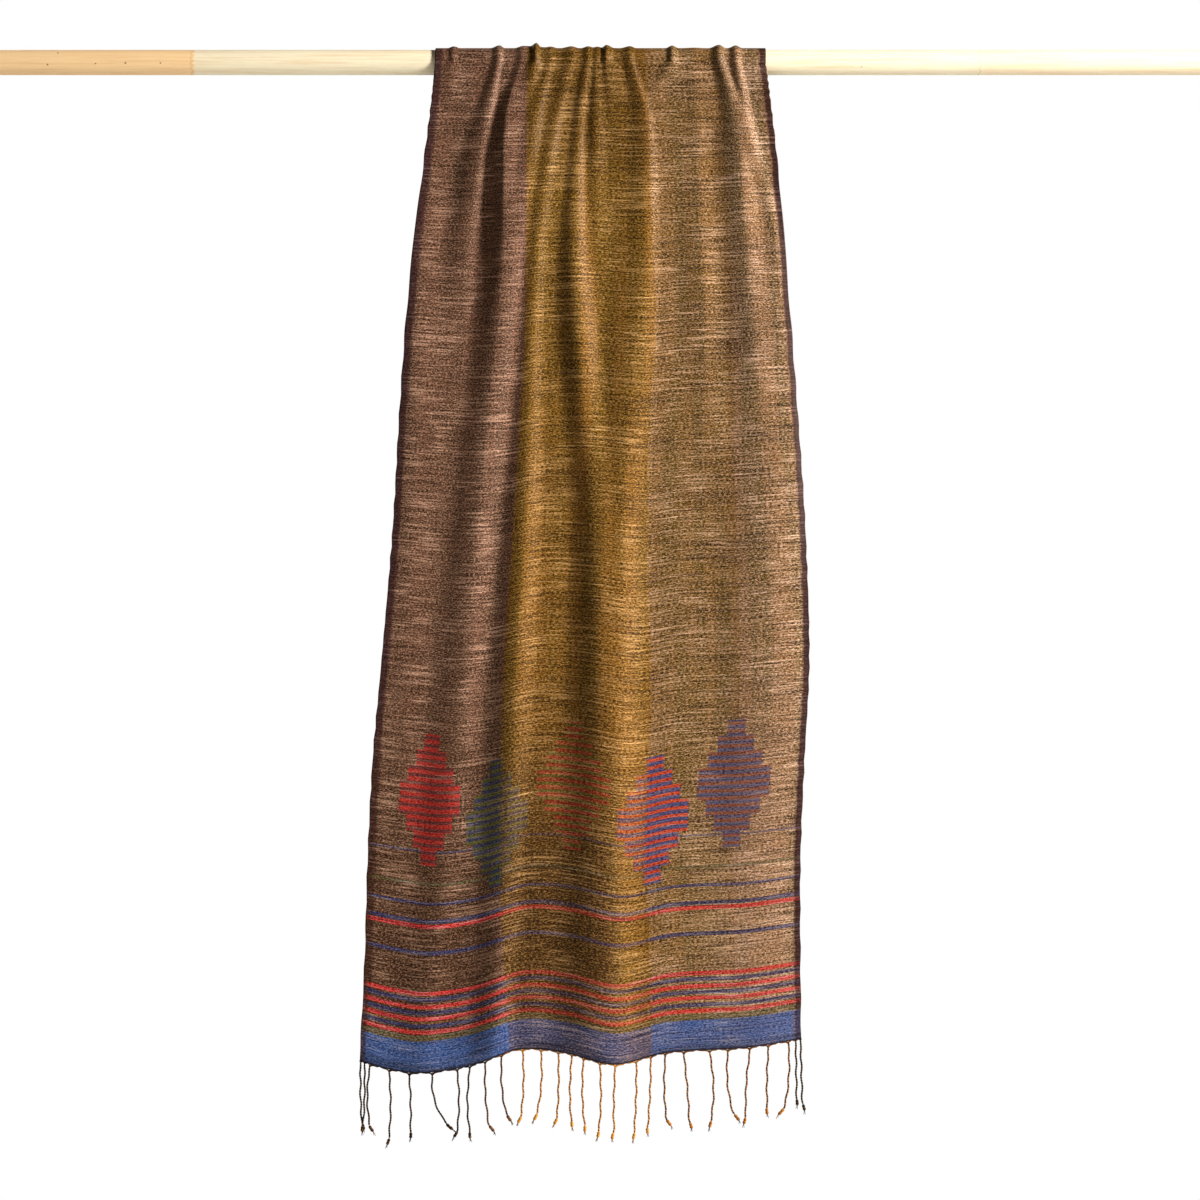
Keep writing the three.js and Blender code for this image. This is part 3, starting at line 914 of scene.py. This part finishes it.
# What the noises do. As a noise goes from low to high, an effect goes from least to most.
EFFECTS = table("name noise low high least most", [
    ("long_bands", "bands", 0.42, 0.58, 0.0, 0.85),
    ("brown_tones", "tones", 0.48, 0.66, 0.0, 0.3),
    ("dark_rows", "streaks", 0.5, 0.32, 0.0, 0.78),
    ("dark_lines", "lines", 0.46, 0.34, 0.0, 0.62),
    ("light_rows", "streaks", 0.51, 0.66, 0.0, 0.44),
    ("light_lines", "lines", 0.53, 0.66, 0.0, 0.48),
    ("light_clusters", "clusters", 0.4, 0.64, 0.2, 1.0),
    ("light_grain", "grain", 0.51, 0.63, 0.0, 0.68),
    ("weft_cover", "streaks", 0.3, 0.55, 0.75, 1.0),
    ("weft_shadow", "streaks", 0.49, 0.34, 0.0, 0.6),
    ("weft_grain", "grain", 0.5, 0.66, 0.0, 0.55),
    ("dark_gaps", "grain", 0.52, 0.39, 0.0, 1.0),
])
# A painted sheen: a pale colour laid over the light threads.
LUSTRE = dict(share=0.12, colour=(236, 206, 190))  # over all light threads
RAISED = dict(grain=0.6, streaks=0.4)  # the noises' shares in the surface's height
WEAVE_BUMP = dict(Distance=0.0005, Strength=0.7)


def weave(shader, across, along):
    """The weave's noises and effects by name, and its sway, about 0."""
    place = shader.combine(shader.mul(across, SWAY["across"]), shader.mul(along, SWAY["along"]))
    sway = shader.sub(shader.noise(place), 0.5)
    woven = shader.add(along, shader.mul(sway, SWAY["rows"]))
    noises, effects = {}, {}
    for row in NOISES:
        place = shader.combine(shader.mul(across, row["across"]), shader.mul(woven, row["along"]))
        noises[row["name"]] = shader.noise(place, 1.0, row["detail"], row["rough"])
    for row in EFFECTS:
        noise = noises[row["noise"]]
        effects[row["name"]] = shader.between(noise, row["low"], row["high"], row["least"], row["most"])
    return noises, effects, sway


def warp_colours(shader, across, nearer, effects):
    """The warp's colour with broad painted light and shade, and the colour of its threads' painted
    highlight.
    """
    place = shader.math("DIVIDE", across, CLOTH["width"])
    colour, glint, shade = (
        shader.ramp(place, section_stops(WARP, kind))[0] for kind in ("colour", "glint", "shade")
    )
    colour = shader.mix(effects["long_bands"], colour, shade)
    colour = shader.mix(effects["brown_tones"], colour, BROWN_TONE)
    # Painted shade near the hem and by the rod, and painted light near the hem on the right section.
    for tint in PAINTED_SHADE_AND_LIGHT:
        share = shader.between(nearer, tint["start"], tint["full"], 0.0, tint["most"])
        share = shader.mul(share, shader.between(across, *tint["left"]))
        share = shader.mul(share, shader.between(across, *tint["right"], 1.0, tint["rest"]))
        colour = shader.mix(share, colour, tint["colour"])
        glint = shader.mix(shader.mul(share, tint["glint_share"]), glint, tint["glint"])
    return colour, glint


def shining_warp(shader, colour, glint, effects):
    """The warp's colour with its dark threads and painted highlights, and how much each place shines."""
    light = shader.add(effects["light_lines"], effects["light_rows"])
    light = shader.mul(light, effects["light_clusters"])
    colour = shader.mix(effects["dark_rows"], colour, DARK_GAP)
    colour = shader.mix(effects["dark_lines"], colour, DARK_GAP)
    colour = shader.mix(light, colour, glint)
    return shader.mix(effects["light_grain"], colour, glint), light


def weft_cover(shader, across, effects):
    """How far the weft hides the warp: less on the middle section, on the selvedges and in some rows."""
    from_middle = shader.math("ABSOLUTE", shader.sub(across, sum(WARP_JOINTS) / 2))
    edge, half_joint = (WARP_JOINTS[1] - WARP_JOINTS[0]) / 2, WEFT["joint"] / 2
    cover = shader.between(from_middle, edge - half_joint, edge + half_joint, WEFT["middle"], 1.0)
    cover = shader.mul(cover, effects["weft_cover"])
    inner = shader.between(across, *WEFT["left"])
    inner = shader.mul(inner, shader.between(across, *WEFT["right"], 1.0, 0.0))
    return shader.mul(cover, shader.between(inner, 0.0, 1.0, WEFT["selvedge"], 1.0))


def add_weft(shader, colour, light, across, nearer, effects):
    """The cloth's colour with the weft's stripes and the lozenges."""
    weft, strength = shader.ramp(shader.math("DIVIDE", nearer, STRIPES_END), stripe_stops(), sharp=True)
    cover = weft_cover(shader, across, effects)
    shown = shader.mul(strength, cover)
    colour = shader.mix(shown, colour, weft)
    colour = shader.mix(shader.mul(strength, effects["weft_shadow"]), colour, WEFT["shadow"])
    # The weft's painted highlights on its light threads.
    lit = shader.add(effects["weft_grain"], shader.mul(light, WEFT["shine"]))
    weft_glint = shader.mix(WEFT["glint_share"], weft, WEFT["glint"])
    colour = shader.mix(shader.mul(shown, lit), colour, weft_glint)
    lozenges, inside = lozenge_layer(shader, across, nearer)
    return shader.mix(shader.mul(inside, shader.mul(cover, LOZENGES["cover"])), colour, lozenges)


def silk_material():
    """Hand-woven silk: warp sections, weft stripes, fine grain, thick and thin threads, soft sheen, with
    painted highlights and broad painted light and shade.
    """
    shader = Shader("woven_silk", SILK)
    across, along, _ = shader.flat()
    nearer = shader.math("MINIMUM", along, shader.sub(CLOTH_LENGTH, along))
    noises, effects, sway = weave(shader, across, along)
    colour, glint = warp_colours(shader, across, nearer, effects)
    colour, light = shining_warp(shader, colour, glint, effects)
    swayed = shader.add(nearer, shader.mul(sway, SWAY["stripes"]))
    colour = add_weft(shader, colour, light, across, swayed, effects)
    # Painted sheen over the light threads.
    colour = shader.mix(shader.mul(light, LUSTRE["share"]), colour, LUSTRE["colour"])
    colour = shader.mix(effects["dark_gaps"], colour, DARK_GAP)
    colour = shader.tint(colour, nearer, HEM_EDGE)
    height = shader.add(*(shader.mul(noises[name], share) for name, share in RAISED.items()))
    return shader.finish(colour, shader.node("Bump", Height=height, **WEAVE_BUMP).outputs[0])


# The fringe's threads: the colours of the two plies of a strand, by the place it hangs from.
THREADS = table("start first second", [
    (0, (17, 7, 8), (14, 6, 7)),
    (9, (34, 14, 8), (20, 9, 6)),
    (130, (84, 44, 12), (28, 13, 6)),
    (WARP_JOINTS[0], (184, 124, 34), (108, 62, 14)),
    (WARP_JOINTS[1], (146, 88, 18), (34, 16, 6)),
    (451, (18, 8, 7), (15, 7, 7)),
])
THREAD = {"Roughness": 0.55, "Specular IOR Level": 0.05}
HAIRS = dict(scale=1.6, apart=3.1)  # apart: from one thread's noise to the next one's
# By the hairs' noise: the first row is a painted highlight, the second darkens the threads in patches.
HAIR_HIGHLIGHT_AND_DARK = table("low high most colour", [
    (0.52, 0.7, 0.22, (226, 170, 92)),
    (0.46, 0.3, 0.6, (34, 18, 12)),
])


def thread_material():
    """Twisted silk thread, dyed as the warp is where it leaves the cloth, with painted highlights."""
    shader = Shader("silk_thread", THREAD)
    across, along, number = shader.flat()
    place = shader.math("DIVIDE", across, CLOTH["width"])
    first, _ = shader.ramp(place, section_stops(THREADS, "first"))
    second, _ = shader.ramp(place, section_stops(THREADS, "second"))
    colour = shader.mix(shader.math("MODULO", number, 2.0), first, second)
    place = shader.combine(across, along, shader.mul(number, HAIRS["apart"]))
    hairs = shader.noise(place, HAIRS["scale"])
    # A painted highlight and darker patches on the threads.
    for row in HAIR_HIGHLIGHT_AND_DARK:
        colour = shader.tint(colour, hairs, row)
    return shader.finish(colour)


# The rod's lengths of pine, glued end to end with finger joints. start: x where a length begins.
PINE = table("start colour", [
    (-625, (246, 210, 160)),
    (-408, (242, 232, 202)),
    (382, (244, 228, 196)),
])
FINGERS = dict(width=5.0, depth=2.4)
GLUE_LINE = dict(low=0.5, high=0.0, most=0.7, colour=(176, 128, 78))  # by distance from a joint
# The wood's broad and fine grain. along, round: its scale for each millimetre along the rod and across it.
PINE_GRAIN = table("along round detail low high most colour", [
    (0.012, 0.5, 3.0, 0.45, 0.7, 0.3, (214, 166, 108)),
    (0.06, 2.2, 2.0, 0.5, 0.72, 0.2, (198, 150, 96)),
])
PINE_SURFACE = {"Roughness": 0.5, "Specular IOR Level": 0.3}
PINE_BUMP = dict(Distance=0.0003, Strength=0.5)
END_FACING = 0.3  # a face whose normal has more than this along the rod belongs to a sawn end
# Small dark marks on the rod's front. x, height: seen from the front. size: radius.
SPECKS = table("x height size", [
    (-553, -4, 0.9),
    (-505, -3, 0.8),
    (-475, -2.5, 1.0),
    (-440, -2.5, 0.8),
    (-543, 8, 0.8),
    (262, -6, 0.6),
])
SPECK = dict(outer=1.3, inner=0.5, share=0.85, colour=(84, 54, 34))  # outer, inner: shares of the radius


def pine_colour(shader, x, y, z):
    """Lengths of pine with glue lines, grain and specks. Also returns the fine grain."""
    finger = shader.math("PINGPONG", z, FINGERS["width"] / 2)
    along = shader.add(x, shader.mul(finger, FINGERS["depth"] * 2 / FINGERS["width"]))
    span = ROD["length"]
    stops = [((row["start"] + span / 2) / span, row["colour"], 1) for row in PINE]
    colour, _ = shader.ramp(shader.math("DIVIDE", shader.add(along, span / 2), span), stops, sharp=True)
    for row in PINE_GRAIN:
        scales = (row["along"], row["round"], row["round"])
        place = shader.combine(*(shader.mul(value, scale) for value, scale in zip((x, y, z), scales)))
        grain = shader.noise(place, 1.0, row["detail"])
        colour = shader.tint(colour, grain, row)
    for row in PINE[1:]:
        colour = shader.tint(colour, shader.math("ABSOLUTE", shader.sub(along, row["start"])), GLUE_LINE)
    front = shader.math("LESS_THAN", y, 0.0)
    for speck in SPECKS:
        aside, up = shader.sub(x, speck["x"]), shader.sub(z, speck["height"])
        away = shader.math("SQRT", shader.add(shader.mul(aside, aside), shader.mul(up, up)))
        outer, inner = speck["size"] * SPECK["outer"], speck["size"] * SPECK["inner"]
        mark = shader.mul(shader.between(away, outer, inner, 0.0, SPECK["share"]), front)
        colour = shader.mix(mark, colour, SPECK["colour"])
    return colour, grain


def rod_normal(shader, y, z):
    """The normal of a true round side. The sawn ends and their chamfers keep the mesh's own."""
    radial = shader.node("VectorMath", shader.combine(0.0, y, z))
    radial.operation = "NORMALIZE"
    own = shader.node("NewGeometry").outputs["True Normal"]
    along_rod = shader.math("ABSOLUTE", shader.apart(own)[0])
    choose = shader.node("Mix", shader.math("GREATER_THAN", along_rod, END_FACING))
    choose.data_type = "VECTOR"
    shader.put(radial.outputs[0], choose.inputs[4])
    shader.put(own, choose.inputs[5])
    return choose.outputs[1]


def rod_material():
    """Pale planed pine with finger joints, a few small dark specks and a warmer length at the left."""
    shader = Shader("pine", PINE_SURFACE)
    place = shader.node("TexCoord").outputs["Object"]
    x, y, z = (shader.mul(metres, 1 / MM) for metres in shader.apart(place))
    colour, grain = pine_colour(shader, x, y, z)
    bump = shader.node("Bump", Height=grain, Normal=rod_normal(shader, y, z), **PINE_BUMP)
    return shader.finish(colour, bump.outputs[0])


def make_floor():
    """A plain pale floor below the scarf."""
    half, height = FLOOR["half"], FLOOR["height"]
    corners = [(x * half, y * half, height) for x, y in ((-1, -1), (1, -1), (1, 1), (-1, 1))]
    mesh = bpy.data.meshes.new("floor")
    mesh.from_pydata(corners, [], [(0, 1, 2, 3)])
    mesh.materials.append(Shader("pale_floor", FLOOR["surface"]).material)
    add_object("floor", mesh)


# ---- the scene

make_camera()
make_lamps()
make_world()
make_floor()

thread = thread_material()
scarf = make_cloth(silk_material())
fringes = [
    make_fringe(FRONT, "front_fringe_threads", thread),
    make_fringe(BACK, "back_fringe_threads", thread),
]
for piece in [scarf] + fringes:
    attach(piece, "root")
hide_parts("cloth_turn", "cloth_front", "cloth_back")
for piece, node in zip(fringes, ("fringe_front", "fringe_back")):
    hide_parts(node)

rod = bpy.data.objects["rod"]
rod.data.materials.clear()
rod.data.materials.append(rod_material())
